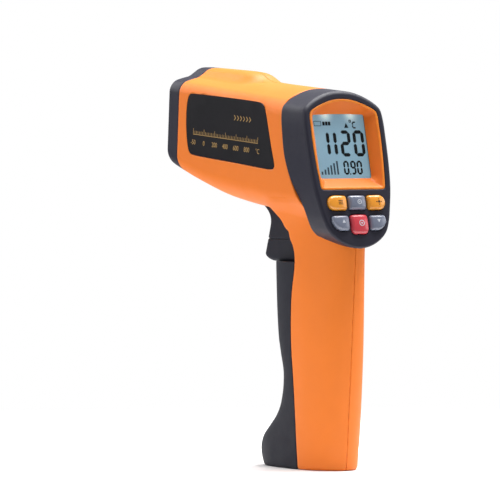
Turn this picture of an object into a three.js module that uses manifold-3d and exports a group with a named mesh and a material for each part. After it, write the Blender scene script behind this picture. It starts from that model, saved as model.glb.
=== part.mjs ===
// Pistol-grip infrared thermometer, in millimetres, +Z up.
// The origin is the centre of the handle's flat base. The nose points along -X and the display faces +X.
import * as THREE from 'three';
import { mergeVertices } from 'three/addons/utils/BufferGeometryUtils.js';
import Module from 'manifold-3d';

const wasm = await Module();
wasm.setup();

// Barrel: its axis is pitched nose up, and its sections lie square to that axis.
const BARREL_PITCH = THREE.MathUtils.degToRad(3.8);
const BARREL_ORIGIN_Z = 175;
const BARREL_HALF_WIDTH = 23.5;
const RIDGE_HEIGHT = 19.8;
const COLLAR_START = 94.6;
const NOSE_END = 105.4;

// Rear face: a plane tilted back from the vertical, with its own origin.
const FACE_TILT = THREE.MathUtils.degToRad(14);
const FACE_ORIGIN = new THREE.Vector3(36.63, 0, 160);
const FACE_PLATE = 2.5;
const LCD_DEPTH = 6;

// Handle. The profiles below are drawn from a level just above the base, and the whole is lifted by this.
const BASE_LIFT = 1.3;
const DOOR_TOP_Z = 104.6;
const HANDLE_TOP_Z = 136;
const RING_BASE_Z = 121;

const WALL = 2.2;
const SEAM_GAP = 0.3;

// Lens and laser axes, as heights above the barrel's axis.
const LENS_HEIGHT = -7;
const LASER_HEIGHT = 17.2;

// Trigger and door hinges, as [x, z].
const TRIGGER_PIVOT = [-22, 139.5];
const TRIGGER_HALF_WIDTH = 10.5;
const DOOR_PIVOT = [9, 1.4];
const KEY_PROUD = 2.4;

// Side profiles, as [x, z].
const RING_FRONT = [
  [7.6, 208], [9.2, 188], [8.9, 183], [9.8, 175], [11.3, 163], [13.4, 156],
  [17, 148], [22, 140.6], [25, 136], [27.4, 130], [28, RING_BASE_Z],
];
const GRIP_LINE = [
  [-18, 134.2], [-12.2, 132.8], [-8.4, 131.2], [-4, 128.9], [-0.2, 126.4], [1.8, 122.8], [5.2, 121],
  [5.5, 119.6], [5.9, 117], [7.8, 114.6], [9.2, 111.6], [9.9, 108.4], [10.1, 105], [9.2, 99], [7, 90],
  [6.2, 80], [6.2, 63], [8.7, 45], [10.4, 27], [11.3, 14], [11.9, -3],
];
const LABEL_LINE = [
  [-79.8, 191.6], [-14.2, 187.6], [-9.6, 186.4], [-7.8, 184.4], [-5.6, 178.6], [-1.2, 162.6],
  [1.6, 155.6], [1.2, 153.4], [-1.4, 152.4], [-35.4, 155.6], [-80.6, 159.2], [-83.4, 160.6],
  [-85, 164], [-86, 169.4], [-86.4, 177.4], [-85.9, 184], [-84.6, 188.8], [-82.8, 191],
];
const TRIGGER_LINE = [
  [-35, 136], [-30, 133], [-25.2, 129.6], [-23.4, 125.8], [-25, 121], [-26.4, 116.6],
  [-28.2, 111.4], [-29.2, 108.6], [-28.2, 106.9], [-24.4, 105.4], [-20, 104.85], [7, 104.85], [10, 106.8],
  [9.6, 111], [8, 115.4], [5.6, 119.4], [2, 124], [-1.6, 128], [-6.4, 131], [-12, 133.4],
  [-15.4, 138], [-17.6, 142.4], [-20.4, 143.8], [-23.6, 143.8], [-26, 141.6], [-27.4, 138],
];

// Rear face outline and window outline, right halves, as [y, height along the face].
const FACE_OUTLINE = [
  [0, 34], [7, 33.3], [13.5, 31.1], [19.6, 27.7], [23, 24.4], [24.1, 19], [24.3, 7], [24.1, -5],
  [23.2, -17], [21.4, -27], [19.6, -34.5], [17.2, -40.1], [12.7, -44.5], [6.3, -47.7], [0, -48.7],
];
const WINDOW_OUTLINE = [
  [0, 30.1], [6, 29.5], [13, 27.2], [18.6, 24.4], [20.2, 22.6], [20.8, 14], [20.8, 4],
  [20.2, -8], [19.5, -15.8], [19.1, -17.1], [18, -17.6], [9, -17.7], [0, -17.7],
];

// Cubic through [key, value] pairs.
function profile(pairs) {
  const slope = (i) => {
    const a = pairs[Math.max(i - 1, 0)];
    const b = pairs[Math.min(i + 1, pairs.length - 1)];
    return (b[1] - a[1]) / (b[0] - a[0]);
  };
  return (key) => {
    const k = THREE.MathUtils.clamp(key, pairs[0][0], pairs[pairs.length - 1][0]);
    const above = pairs.findIndex((p) => p[0] > k);
    const n = above < 0 ? pairs.length - 2 : above - 1;
    const h = pairs[n + 1][0] - pairs[n][0];
    const t = (k - pairs[n][0]) / h;
    const m0 = slope(n) * h;
    const m1 = slope(n + 1) * h;
    const t2 = t * t;
    const t3 = t2 * t;
    return (2 * t3 - 3 * t2 + 1) * pairs[n][1] + (t3 - 2 * t2 + t) * m0
      + (-2 * t3 + 3 * t2) * pairs[n + 1][1] + (t3 - t2) * m1;
  };
}

const barrelBottom = profile([
  [-40, -44.4], [0, -44], [27, -43], [48, -41.2], [60, -39.3], [84, -34.1], [102, -29.6], [108, -27.9],
]);
const ridgeRadius = profile([[-40, 36], [0, 38], [60, 50], [100, 62], [110, 62]]);
const handleBack = profile([[0, 34], [32, 36.7], [66, 39.4], [100, 42], [136, 44]]);
const handleFront = profile([
  [0, -33.6], [4, -35.4], [9, -35.8], [14.6, -32.8], [19.7, -26.2], [24.8, -19.2], [30, -14.4],
  [35, -12], [41, -10.4], [49, -10.4], [58, -13.6], [67, -16.2], [86, -17.8], [136, -18.6],
]);
const handleRearAxis = profile([[0, 23.5], [60, 24.5], [105, 33], [136, 36]]);
const handleWidth = profile([
  [0, 15.8], [12, 16.3], [30, 16.5], [100, 16.5], [113, 16.6], [124, 17.7], [136, 20.6],
]);

// Solids and booleans.
function solid(geometry) {
  const plain = geometry.clone();
  plain.deleteAttribute('normal');
  plain.deleteAttribute('uv');
  const merged = mergeVertices(plain, 1e-4);
  const index = merged.index.array;
  const corners = [];
  for (let i = 0; i < index.length; i += 3) {
    const [a, b, c] = [index[i], index[i + 1], index[i + 2]];
    if (a !== b && b !== c && c !== a) {
      corners.push(a, b, c);
    }
  }
  return new wasm.Manifold(new wasm.Mesh({
    numProp: 3,
    vertProperties: new Float32Array(merged.attributes.position.array),
    triVerts: new Uint32Array(corners),
  }));
}

function surface(body) {
  const data = body.getMesh();
  const geometry = new THREE.BufferGeometry();
  geometry.setAttribute('position', new THREE.BufferAttribute(data.vertProperties, 3));
  geometry.setIndex(new THREE.BufferAttribute(data.triVerts, 1));
  return geometry;
}

function union(...bodies) {
  return bodies.reduce((sum, body) => sum.add(body));
}

function difference(body, ...tools) {
  return tools.reduce((rest, tool) => rest.subtract(tool), body);
}

// Placement frames. Local x runs along Y, local y up, local z out of the rear face or out of the nose.
const faceFrame = new THREE.Matrix4().makeBasis(
  new THREE.Vector3(0, 1, 0),
  new THREE.Vector3(-Math.sin(FACE_TILT), 0, Math.cos(FACE_TILT)),
  new THREE.Vector3(Math.cos(FACE_TILT), 0, Math.sin(FACE_TILT)),
).setPosition(FACE_ORIGIN);
const barrelFrame = new THREE.Matrix4().makeBasis(
  new THREE.Vector3(0, -1, 0),
  new THREE.Vector3(Math.sin(BARREL_PITCH), 0, Math.cos(BARREL_PITCH)),
  new THREE.Vector3(-Math.cos(BARREL_PITCH), 0, Math.sin(BARREL_PITCH)),
).setPosition(0, 0, BARREL_ORIGIN_Z);

function placed(geometry, frame) {
  return geometry.clone().applyMatrix4(frame);
}

function box(width, height, depth, x, y, z) {
  return new THREE.BoxGeometry(width, height, depth).translate(x, y, z);
}

function shapeOf(points) {
  return new THREE.Shape(points.map(([x, y]) => new THREE.Vector2(x, y)));
}

// A plate between two depths of its frame.
function plate(shape, low, high) {
  const options = { depth: high - low, bevelEnabled: false, curveSegments: 3 };
  return new THREE.ExtrudeGeometry(shape, options).translate(0, 0, low);
}

// A side-view outline, extruded across the object from y0 to y1.
function slab(points, y0, y1) {
  const geometry = new THREE.ExtrudeGeometry(shapeOf(points), { depth: y1 - y0, bevelEnabled: false });
  return geometry.rotateX(Math.PI / 2).translate(0, y1, 0);
}

// A rod between two y levels, at [x, z].
function crossRod(radius, y0, y1, [x, z], segments = 20) {
  const geometry = new THREE.CylinderGeometry(radius, radius, y1 - y0, segments);
  return geometry.translate(x, (y0 + y1) / 2, z);
}

// A rod along its frame's z axis.
function axialRod(radius, low, high, x, y, segments = 32) {
  const geometry = new THREE.CylinderGeometry(radius, radius, high - low, segments);
  return geometry.rotateX(Math.PI / 2).translate(x, y, (low + high) / 2);
}

function roundedRect(left, right, bottom, top, radii) {
  const [topLeft, topRight, bottomRight, bottomLeft] = radii;
  const shape = new THREE.Shape();
  shape.moveTo(left + bottomLeft, bottom);
  shape.lineTo(right - bottomRight, bottom);
  shape.absarc(right - bottomRight, bottom + bottomRight, bottomRight, -Math.PI / 2, 0);
  shape.lineTo(right, top - topRight);
  shape.absarc(right - topRight, top - topRight, topRight, 0, Math.PI / 2);
  shape.lineTo(left + topLeft, top);
  shape.absarc(left + topLeft, top - topLeft, topLeft, Math.PI / 2, Math.PI);
  shape.lineTo(left, bottom + bottomLeft);
  shape.absarc(left + bottomLeft, bottom + bottomLeft, bottomLeft, Math.PI, 1.5 * Math.PI);
  return shape;
}

// A closed outline from its right half, offset outwards by a distance.
function mirrored(half, offset, count) {
  const left = half.slice(half[half.length - 1][0] === 0 ? 1 : 0, -1).reverse();
  const open = half[half.length - 1][0] === 0 ? left : half.slice(1).reverse();
  const whole = [...half, ...open.map(([x, y]) => [-x, y])];
  const spots = whole.map(([x, y]) => new THREE.Vector3(x, y, 0));
  const curve = new THREE.CatmullRomCurve3(spots, true, 'centripetal');
  const points = [];
  for (let i = 0; i < count; i += 1) {
    const point = curve.getPointAt(i / count);
    const tangent = curve.getTangentAt(i / count);
    points.push([point.x - tangent.y * offset, point.y + tangent.x * offset]);
  }
  return points;
}

// A cylinder whose every point is moved to map(turn, level, share of radius).
function shaped(around, along, map) {
  const geometry = new THREE.CylinderGeometry(1, 1, 1, around, along);
  const spots = geometry.attributes.position;
  for (let i = 0; i < spots.count; i += 1) {
    const share = Math.min(1, Math.hypot(spots.getX(i), spots.getZ(i)));
    const turn = Math.atan2(-spots.getZ(i), spots.getX(i));
    const [x, y, z] = map(turn, spots.getY(i) + 0.5, share);
    spots.setXYZ(i, x, y, z);
  }
  return geometry;
}

// Signed distances, joined with a rounded corner.
function roundedCorner(a, b, radius) {
  const outside = Math.hypot(Math.max(radius + a, 0), Math.max(radius + b, 0));
  return Math.min(-radius, Math.max(a, b)) + outside;
}

// The barrel's section at a station: arched top, flat sides, rounded bottom corners.
function barrelSection(x, height, station, grow) {
  const side = Math.abs(x) - BARREL_HALF_WIDTH - grow;
  const radius = ridgeRadius(station);
  const top = Math.hypot(x, height - RIDGE_HEIGHT + radius) - radius - grow;
  const bottom = barrelBottom(station) - grow - height;
  const corner = 13 - 3.6 * THREE.MathUtils.smoothstep(station, 30, 100);
  return Math.max(roundedCorner(side, top, 4.5), roundedCorner(side, bottom, corner + grow));
}

function barrelLoft(from, to, around, along, grow) {
  const middle = -10;
  return placed(shaped(around, along, (turn, level, share) => {
    const station = from + (to - from) * level;
    let near = 0;
    let far = 60;
    for (let i = 0; i < 30; i += 1) {
      const radius = (near + far) / 2;
      const inside = barrelSection(
        radius * Math.cos(turn), middle + radius * Math.sin(turn), station, grow) < 0;
      near = inside ? radius : near;
      far = inside ? far : radius;
    }
    return [near * share * Math.cos(turn), middle + near * share * Math.sin(turn), station];
  }), barrelFrame);
}

// The raised spine on top of the barrel, from its rear ramp to the nose.
function humpLoft(from, to, grow) {
  const rise = profile([[36, 0], [42, 0.6], [48, 3.3], [55, 4.3], [75, 4.2], [110, 3.5]]);
  return placed(shaped(24, 14, (turn, level, share) => {
    const station = from + (to - from) * level;
    const height = rise(station);
    const spread = Math.sign(Math.cos(turn)) * Math.abs(Math.cos(turn)) ** 0.55;
    const lift = Math.abs(Math.sin(turn)) ** 0.55;
    const narrow = 12 - 4.6 * lift + grow;
    const y = Math.sin(turn) > 0 ? 17.4 + (height + 2.4 + grow) * lift : 17.4 - 5 * lift;
    return [narrow * spread * share * (0.6 + 0.4 * height / 4.4), 17 + (y - 17) * share, station];
  }), barrelFrame);
}

// The handle: elliptical behind, squarer in front, flared at its top and its toe.
function handleLoft(from, to, around, along, grow) {
  return shaped(around, along, (turn, level, share) => {
    const z = from + (to - from) * level;
    const extra = typeof grow === 'function' ? grow(z) : grow;
    const rear = handleRearAxis(z);
    const centre = handleBack(z) - rear;
    const front = centre - handleFront(z);
    const power = Math.cos(turn) > 0 ? 1 : 2 / 3.2;
    const reach = Math.cos(turn) > 0 ? rear + extra : -(front + extra);
    const x = reach * Math.abs(Math.cos(turn)) ** power;
    const y = (handleWidth(z) + extra) * Math.sign(Math.sin(turn)) * Math.abs(Math.sin(turn)) ** power;
    return [centre + x * share, y * share, z];
  });
}

function ringSection(offset) {
  const tilt = Math.cos(FACE_TILT);
  const base = FACE_ORIGIN.x * Math.sin(BARREL_PITCH)
    + (FACE_ORIGIN.z - BARREL_ORIGIN_Z) * Math.cos(BARREL_PITCH);
  const scale = tilt * Math.cos(BARREL_PITCH) - Math.sin(FACE_TILT) * Math.sin(BARREL_PITCH);
  return mirrored(FACE_OUTLINE, offset, 64).map(([x, y]) => [x, base + y * scale]);
}

// The ring's outline swept along the barrel's axis, offset by a distance.
function ringSweep(offset, from, to) {
  return placed(plate(shapeOf(ringSection(offset)), from, to), barrelFrame);
}

function keyShapes(shrink) {
  const s = shrink;
  const full = 3.8 - s;
  const soft = 1.4;
  const low = 6 - s;
  return {
    set: roundedRect(-16.9 + s, -5.7 - s, -28.5 + s, -20.9 - s, [full, soft, soft, full]),
    mode: roundedRect(-4.6 + s, 5.7 - s, -28.4 + s, -20.9 - s, [soft, soft, soft, soft]),
    laser: roundedRect(6.8 + s, 17.4 - s, -28.5 + s, -20.9 - s, [soft, full, full, soft]),
    up: roundedRect(-15.7 + s, -5.7 - s, -39.2 + s, -31.3 - s, [soft, soft, soft, low]),
    scan: roundedRect(-4.6 + s, 5.6 - s, -41 + s, -30.9 - s, [soft, soft, 2.4, 2.4]),
    down: roundedRect(6.8 + s, 16.5 - s, -39.2 + s, -31.3 - s, [soft, soft, low, soft]),
  };
}

function windowShape(offset) {
  return shapeOf(mirrored(WINDOW_OUTLINE, offset, 48));
}

// Outer bodies.
const barrelBody = solid(barrelLoft(-40, NOSE_END, 48, 15, 0));
const humpBody = solid(humpLoft(36, NOSE_END, 0));
const baseRim = solid(handleLoft(-BASE_LIFT, 4, 44, 2, (z) => z - 0.6));
const handleBody = solid(handleLoft(-BASE_LIFT, HANDLE_TOP_Z, 44, 28, 0)).intersect(
  union(baseRim, solid(box(120, 60, 140, 0, 0, 72))));
const frontPoints = [...GRIP_LINE, [-70, -3], [-70, 137], [-18, 137]];
const frontZone = solid(slab(frontPoints, -30, 30));
const ringZonePoints = [...RING_FRONT, [28, 108], [80, 108], [80, 208]];
const ringZone = solid(slab(ringZonePoints, -40, 40));
const casingCutPoints = [
  ...RING_FRONT.map(([x, z]) => [x - SEAM_GAP, z]), [80, RING_BASE_Z], [80, 208],
];
const lowRoom = solid(box(120, 80, 5, 60, 0, RING_BASE_Z + 2.5));
const casingCut = solid(slab(casingCutPoints, -40, 40)).subtract(
  lowRoom.subtract(solid(ringSweep(SEAM_GAP, -60, 20))));
const noseCut = solid(placed(box(80, 120, 40, 0, 0, COLLAR_START + 20), barrelFrame));

const SCREWS = {
  1: [26, 9],
  2: [30, 92],
  3: [-46, 147],
  4: [-84, 153.6],
};

function casing() {
  const handle = difference(handleBody, frontZone);
  const outer = union(barrelBody, humpBody, handle);
  const cheeks = union(
    solid(box(44, 12, 34, -16, 17.2, 119)),
    solid(box(44, 12, 34, -16, -17.2, 119)),
  );
  const hollow = difference(union(
    solid(barrelLoft(-38, NOSE_END + 4, 32, 10, -WALL)),
    solid(placed(box(9.6, 8, 46, 0, 18, 83), barrelFrame)),
    solid(handleLoft(1, HANDLE_TOP_Z + 2, 28, 12, -WALL)),
  ), cheeks);
  const slot = solid(box(28, 22.4, 12, -22, 0, 135));
  const bosses = Object.values(SCREWS).map((spot) => solid(crossRod(3.1, -24, 24, spot)));
  const knuckles = solid(crossRod(2.3, -16.6, 16.6, DOOR_PIVOT));
  const ears = union(
    solid(box(5.6, 4, 4.4, 11.8, 11.4, DOOR_PIVOT[1])),
    solid(box(5.6, 4, 4.4, 11.8, -11.4, DOOR_PIVOT[1])),
  );
  const between = solid(box(12, 18.8, 12, DOOR_PIVOT[0], 0, DOOR_PIVOT[1]));
  const outside = solid(box(12, 26.8, 12, DOOR_PIVOT[0], 0, DOOR_PIVOT[1]));
  const hinge = union(ears, knuckles.subtract(between).intersect(outside));
  const bore = solid(crossRod(1.12, -13.2, 13.2, DOOR_PIVOT, 16));
  const pinBore = solid(crossRod(1.35, -14.4, 14.4, TRIGGER_PIVOT, 16));
  const springWall = solid(box(1.4, 40, 8, 19.6, 0, 109.6)).intersect(handle);
  const walls = difference(outer, hollow, slot);
  const filled = union(
    walls, springWall, hinge.intersect(handleBody), ...bosses.map((boss) => boss.intersect(outer)));
  const hub = union(
    solid(crossRod(3.2, 10.9, 22, TRIGGER_PIVOT)),
    solid(crossRod(3.2, -22, -10.9, TRIGGER_PIVOT)),
  ).intersect(outer);
  const keyRoom = solid(placed(box(36, 43, 14.4, 0, -21.5, -2.4), faceFrame));
  return difference(union(filled, hub), bore, pinBore, casingCut, noseCut, keyRoom);
}

function labelPlate(side) {
  const inner = BARREL_HALF_WIDTH - 0.3;
  const [low, high] = side < 0 ? [-inner - 0.5, -inner] : [inner, inner + 0.5];
  return solid(slab(LABEL_LINE, low, high));
}

function labelPocket(side) {
  const curve = LABEL_LINE.map(([x, z]) => {
    const [cx, cz] = [-43, 172];
    return [cx + (x - cx) * 1.004, cz + (z - cz) * 1.01];
  });
  const inner = BARREL_HALF_WIDTH - 0.35;
  return solid(side < 0 ? slab(curve, -30, -inner) : slab(curve, inner, 30));
}

const casingBody = casing();

function halfShell(side) {
  const keep = solid(box(400, 60, 400, 0, side * (30 + SEAM_GAP / 2), 100));
  const half = casingBody.intersect(keep).subtract(labelPocket(side));
  const holes = Object.values(SCREWS).map((spot) => (side < 0
    ? solid(crossRod(1.2, -9, 0, spot, 16))
    : union(solid(crossRod(1.6, 0, 30, spot, 16)), solid(crossRod(2.9, 6, 30, spot, 20)))));
  return difference(half, ...holes);
}

function noseCollar() {
  const front = solid(placed(box(80, 120, 20, 0, 0, COLLAR_START + SEAM_GAP + 10), barrelFrame));
  const outer = union(barrelBody, humpBody).intersect(front);
  const hollow = solid(barrelLoft(COLLAR_START - 2, 102.8, 32, 2, -2.4));
  const mouth = new THREE.CylinderGeometry(17, 15.4, 8, 40).rotateX(Math.PI / 2);
  const lensHole = solid(placed(mouth.translate(0, LENS_HEIGHT, 104), barrelFrame));
  const laserRoom = solid(placed(axialRod(4.6, 80, 103.4, 0, LASER_HEIGHT, 24), barrelFrame));
  const laserHole = solid(placed(axialRod(2.6, 100, 110, 0, LASER_HEIGHT + 0.6, 24), barrelFrame));
  return difference(outer, hollow, lensHole, laserRoom, laserHole);
}

function rearBezel() {
  const outer = ringSweep(0, -50, 0);
  const aboveFace = solid(placed(box(120, 160, 60, 0, 0, 30), faceFrame));
  const hollow = solid(ringSweep(-2.4, -60, 10)).intersect(
    solid(placed(box(80, 120, 60, 0, 60 - 42.4, -FACE_PLATE - 30), faceFrame)));
  const handle = solid(handleLoft(100, HANDLE_TOP_Z, 44, 8, SEAM_GAP)).intersect(
    solid(box(120, 60, 40, 20, 0, RING_BASE_Z + SEAM_GAP - 20)));
  const window = solid(placed(plate(windowShape(0), -20, 20), faceFrame));
  const holes = Object.values(keyShapes(-0.22)).map(
    (shape) => solid(placed(plate(shape, -8, 4), faceFrame)));
  const rim = solid(outer).intersect(ringZone);
  return difference(rim, aboveFace, hollow, handle, window, ...holes);
}

// The sloped surround between the face and the display.
function displayFrame() {
  const outer = plate(windowShape(-0.25), -LCD_DEPTH, -0.15);
  const rows = [-LCD_DEPTH - 0.2, 0];
  const mouth = mirrored(WINDOW_OUTLINE, -1.1, 48);
  const pocket = shaped(48, 1, (turn, level, share) => {
    const index = Math.round(((Math.PI * 2.5 - turn) / (Math.PI * 2)) * 48) % 48;
    const [x, y] = mouth[index];
    const across = THREE.MathUtils.clamp(x * 1.4, -15.2, 15.2);
    const up = THREE.MathUtils.clamp(y * 1.4 + 3, -10.1, 22.8);
    const point = level < 0.5 ? [across, up] : [x, y];
    return [point[0] * share, 5 + (point[1] - 5) * share, rows[level < 0.5 ? 0 : 1]];
  });
  return solid(placed(outer, faceFrame)).subtract(solid(placed(pocket, faceFrame)));
}

// A plate parallel to the face, between two depths below it.
function facePlate(left, right, bottom, top, deep, shallow, radius = 1, lowRadius = radius) {
  const shape = roundedRect(left, right, bottom, top, [radius, radius, lowRadius, lowRadius]);
  return placed(plate(shape, -deep, -shallow), faceFrame);
}

// A key: a cap through the face plate, with a ledge above and below that stops under the plate.
function key(name) {
  const cap = new THREE.ExtrudeGeometry(keyShapes(0.4)[name], {
    depth: KEY_PROUD + FACE_PLATE + 0.7,
    bevelEnabled: true,
    bevelThickness: 0.4,
    bevelSize: 0.4,
    bevelSegments: 1,
    curveSegments: 3,
  }).translate(0, 0, -FACE_PLATE - 1.1);
  const capBox = new THREE.Box3().setFromBufferAttribute(cap.attributes.position);
  const width = capBox.max.x - capBox.min.x - 1.2;
  const low = capBox.min.y < -35 ? capBox.min.y + 3 : capBox.min.y - 0.6;
  const high = capBox.max.y + 0.6;
  const middle = (capBox.max.x + capBox.min.x) / 2;
  const ledge = box(width, high - low, 1, middle, (high + low) / 2, -FACE_PLATE - 0.9);
  return union(solid(placed(cap, faceFrame)), solid(placed(ledge, faceFrame)));
}

// A turned piece on the lens axis, from [radius, station] points that run nose-wards on the outside.
function turned(points, segments = 40) {
  const outline = points.map(([radius, station]) => new THREE.Vector2(radius, station));
  const closing = points[0][0] === 0 ? [] : [outline[0].clone()];
  const geometry = new THREE.LatheGeometry([...outline, ...closing], segments);
  return solid(placed(geometry.rotateX(Math.PI / 2).translate(0, LENS_HEIGHT, 0), barrelFrame));
}

function lens() {
  return turned([[0, 96.4], [15.8, 96.9], [16.4, 98.2], [15.4, 98.9], [8, 99.6], [0, 99.9]]);
}

function lensRetainer() {
  return turned([
    [14.6, 100.1], [17.2, 98.8], [17.2, 98.5], [18.2, 98.5], [18.2, 102.6], [15.2, 102.6], [14.6, 101.6],
  ]);
}

function lensBarrel() {
  return turned([
    [5.2, 57.6], [8.4, 57.6], [8.4, 60], [17.6, 86], [17.6, 96.2], [15.8, 96.2], [13, 86], [5.2, 60],
  ]);
}

function sensorCan() {
  return turned([[0, 52.3], [4.6, 52.3], [4.6, 53.1], [4.1, 53.1], [4.1, 57], [2.2, 57.2], [0, 57.2]], 24);
}

function laserModule() {
  return placed(axialRod(3.4, 76, 98.4, 0, LASER_HEIGHT, 28), barrelFrame);
}

function laserWindow() {
  return placed(axialRod(4.2, 99.4, 100.6, 0, LASER_HEIGHT, 28), barrelFrame);
}

// The trigger: side profile with rounded edges, bored for its pin.
function trigger() {
  const middle = new THREE.ExtrudeGeometry(shapeOf(TRIGGER_LINE), {
    depth: 2 * TRIGGER_HALF_WIDTH - 3,
    bevelEnabled: true,
    bevelThickness: 1.5,
    bevelSize: 1.5,
    bevelOffset: -1.5,
    bevelSegments: 2,
  }).rotateX(Math.PI / 2).translate(0, TRIGGER_HALF_WIDTH - 1.5, 0);
  const bore = solid(crossRod(1.35, -20, 20, TRIGGER_PIVOT, 16));
  return solid(middle).subtract(bore);
}

function triggerPin() {
  return crossRod(1.25, -14, 14, TRIGGER_PIVOT, 16);
}

// The compression spring behind the trigger, along X.
function triggerSpring() {
  const [start, end, radius, turns] = [10.2, 18.6, 2, 5];
  const points = [];
  for (let i = 0; i <= turns * 12; i += 1) {
    const angle = (i / 12) * Math.PI * 2;
    points.push(new THREE.Vector3(
      start + 0.3 + (end - start - 0.6) * (i / (turns * 12)),
      radius * Math.cos(angle),
      109.6 + radius * Math.sin(angle),
    ));
  }
  const wire = new THREE.Shape();
  wire.absarc(0, 0, 0.28, 0, Math.PI * 2);
  return new THREE.ExtrudeGeometry(wire, {
    steps: turns * 12,
    curveSegments: 3,
    extrudePath: new THREE.CatmullRomCurve3(points),
  });
}

function batteryDoor() {
  const zone = solid(slab(frontPoints.map(([x, z]) => [x - SEAM_GAP, z]), -30, 30));
  const outer = handleBody.intersect(zone).intersect(solid(box(140, 60, 2 * DOOR_TOP_Z, 0, 0, 0)));
  const hollow = solid(handleLoft(1.1, DOOR_TOP_Z - 2.4, 28, 16, -2.4));
  const earRoom = union(
    solid(box(9, 4.8, 12, 10.6, 11.4, -1)),
    solid(box(9, 4.8, 12, 10.6, -11.4, -1)),
  );
  const knuckle = union(
    solid(crossRod(2.3, -8.6, 8.6, DOOR_PIVOT)),
    solid(box(8, 17.2, 2.6, 5, 0, 0.6)),
  );
  const heel = solid(box(8, 40, 8, DOOR_PIVOT[0] + 4, 0, DOOR_PIVOT[1] - 4)).subtract(
    solid(crossRod(2.6, -20, 20, DOOR_PIVOT, 28)));
  const bore = solid(crossRod(1.12, -20, 20, DOOR_PIVOT, 16));
  const shell = difference(outer, hollow, earRoom);
  return difference(union(shell, knuckle), heel, bore);
}

function doorHingePin() {
  return crossRod(1, -13, 13, DOOR_PIVOT, 16);
}

function battery() {
  return box(16.9, 26, 47, 10.6, 0, 36.5);
}

function batteryConnector() {
  return box(12, 24, 3.6, 10.8, 0, 62.2);
}

// The bracket that carries the battery: a back wall and a floor.
function batteryCradle() {
  const back = box(1.4, 24, 50, 20.4, 0, 35);
  const floor = box(16, 24, 1.4, 13, 0, 10.7);
  return union(solid(back), solid(floor));
}

function wire(offset) {
  const points = [
    new THREE.Vector3(17.1, offset, 62.2),
    new THREE.Vector3(20, offset * 1.1, 62.8),
    new THREE.Vector3(24.6, offset * 2, 67),
    new THREE.Vector3(26, offset * 2.5, 77),
    new THREE.Vector3(25, offset * 2.5, 110),
    new THREE.Vector3(24, offset * 1.6, 134),
    new THREE.Vector3(25.6, offset, 142),
  ];
  const circle = new THREE.Shape();
  circle.absarc(0, 0, 0.7, 0, Math.PI * 2);
  return new THREE.ExtrudeGeometry(circle, {
    steps: 26,
    curveSegments: 3,
    extrudePath: new THREE.CatmullRomCurve3(points),
  });
}

function caseScrew(spot) {
  return union(solid(crossRod(1.05, -8, 7, spot, 16)), solid(crossRod(2.6, 6.1, 8.2, spot, 20)));
}

// Scene graph.
const PAINTS = {
  orange: [0xef8433, 0.42, 0],
  black: [0x35343a, 0.5, 0],
  rubber: [0x303035, 0.7, 0],
  orangeKey: [0xf0a03c, 0.4, 0],
  greyKey: [0x8d94a2, 0.4, 0],
  redKey: [0xd8434f, 0.4, 0],
  clear: [0xdfe9ee, 0.05, 0],
  display: [0x7fa7ba, 0.2, 0],
  white: [0xf2f2ee, 0.5, 0],
  board: [0x1f6b3a, 0.5, 0],
  steel: [0xb9bcc0, 0.3, 1],
  brass: [0xc79a4a, 0.3, 1],
  glass: [0x39404a, 0.05, 0],
  tin: [0xc9ccd0, 0.35, 1],
  redLead: [0xb9202a, 0.5, 0],
  blackLead: [0x202022, 0.5, 0],
  label: [0x242328, 0.3, 0],
};

const group = new THREE.Group();
group.name = 'infrared_thermometer';
group.position.z = BASE_LIFT;

function add(name, paint, shape) {
  const [color, roughness, metalness] = PAINTS[paint];
  const geometry = shape.isBufferGeometry ? shape : surface(shape);
  const mesh = new THREE.Mesh(geometry, new THREE.MeshStandardMaterial({ color, roughness, metalness }));
  mesh.name = name;
  group.add(mesh);
}

add('left_shell', 'orange', halfShell(-1));
add('right_shell', 'orange', halfShell(1));
add('nose_collar', 'black', noseCollar());
add('rear_bezel', 'black', rearBezel());
add('display_frame', 'orange', displayFrame());
add('display_window', 'clear', facePlate(-16.6, 16.6, -11.6, 24.4, 6.8, 6.05));
add('lcd_panel', 'display', facePlate(-16, 16, -11, 23.8, 8.4, 7));
add('backlight', 'white', facePlate(-15.6, 15.6, -10.6, 23.2, 10.6, 8.6));
add('main_board', 'board', facePlate(-19, 19, -14, 24.6, 12.6, 11));
add('controller_chip', 'blackLead', facePlate(-5, 5, 2, 12, 14.6, 12.8, 0.4));
add('key_board', 'board', facePlate(-14.4, 14.4, -39.8, -19, 8.6, 7, 1, 10));
add('keypad_mat', 'rubber', facePlate(-14.4, 14.4, -40.6, -19, 6.4, 4.8, 1, 10));
add('buzzer', 'blackLead', placed(axialRod(5.6, -17.2, -12.8, 9, -6.6, 24), faceFrame));
for (const [name, paint] of [
  ['set', 'orangeKey'], ['mode', 'greyKey'], ['laser', 'orangeKey'],
  ['up', 'greyKey'], ['scan', 'redKey'], ['down', 'greyKey'],
]) {
  add(`key_${name}`, paint, key(name));
}
add('label_left', 'label', labelPlate(-1));
add('label_right', 'label', labelPlate(1));
add('ir_lens', 'glass', lens());
add('lens_retainer', 'black', lensRetainer());
add('lens_barrel', 'black', lensBarrel());
add('sensor_can', 'tin', sensorCan());
add('sensor_board', 'board', placed(box(24, 24, 1.6, 0, LENS_HEIGHT, 51.3), barrelFrame));
add('laser_module', 'brass', laserModule());
add('laser_window', 'clear', laserWindow());
add('trigger', 'rubber', trigger());
add('trigger_pin', 'steel', triggerPin());
add('trigger_spring', 'steel', triggerSpring());
add('trigger_switch', 'blackLead', box(8, 5.8, 6.4, 17.6, 0, 122.6));
add('battery_door', 'rubber', batteryDoor());
add('door_hinge_pin', 'steel', doorHingePin());
add('battery_9v', 'tin', battery());
add('battery_connector', 'blackLead', batteryConnector());
add('battery_cradle', 'black', batteryCradle());
add('lead_red', 'redLead', wire(3));
add('lead_black', 'blackLead', wire(-3));
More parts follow.
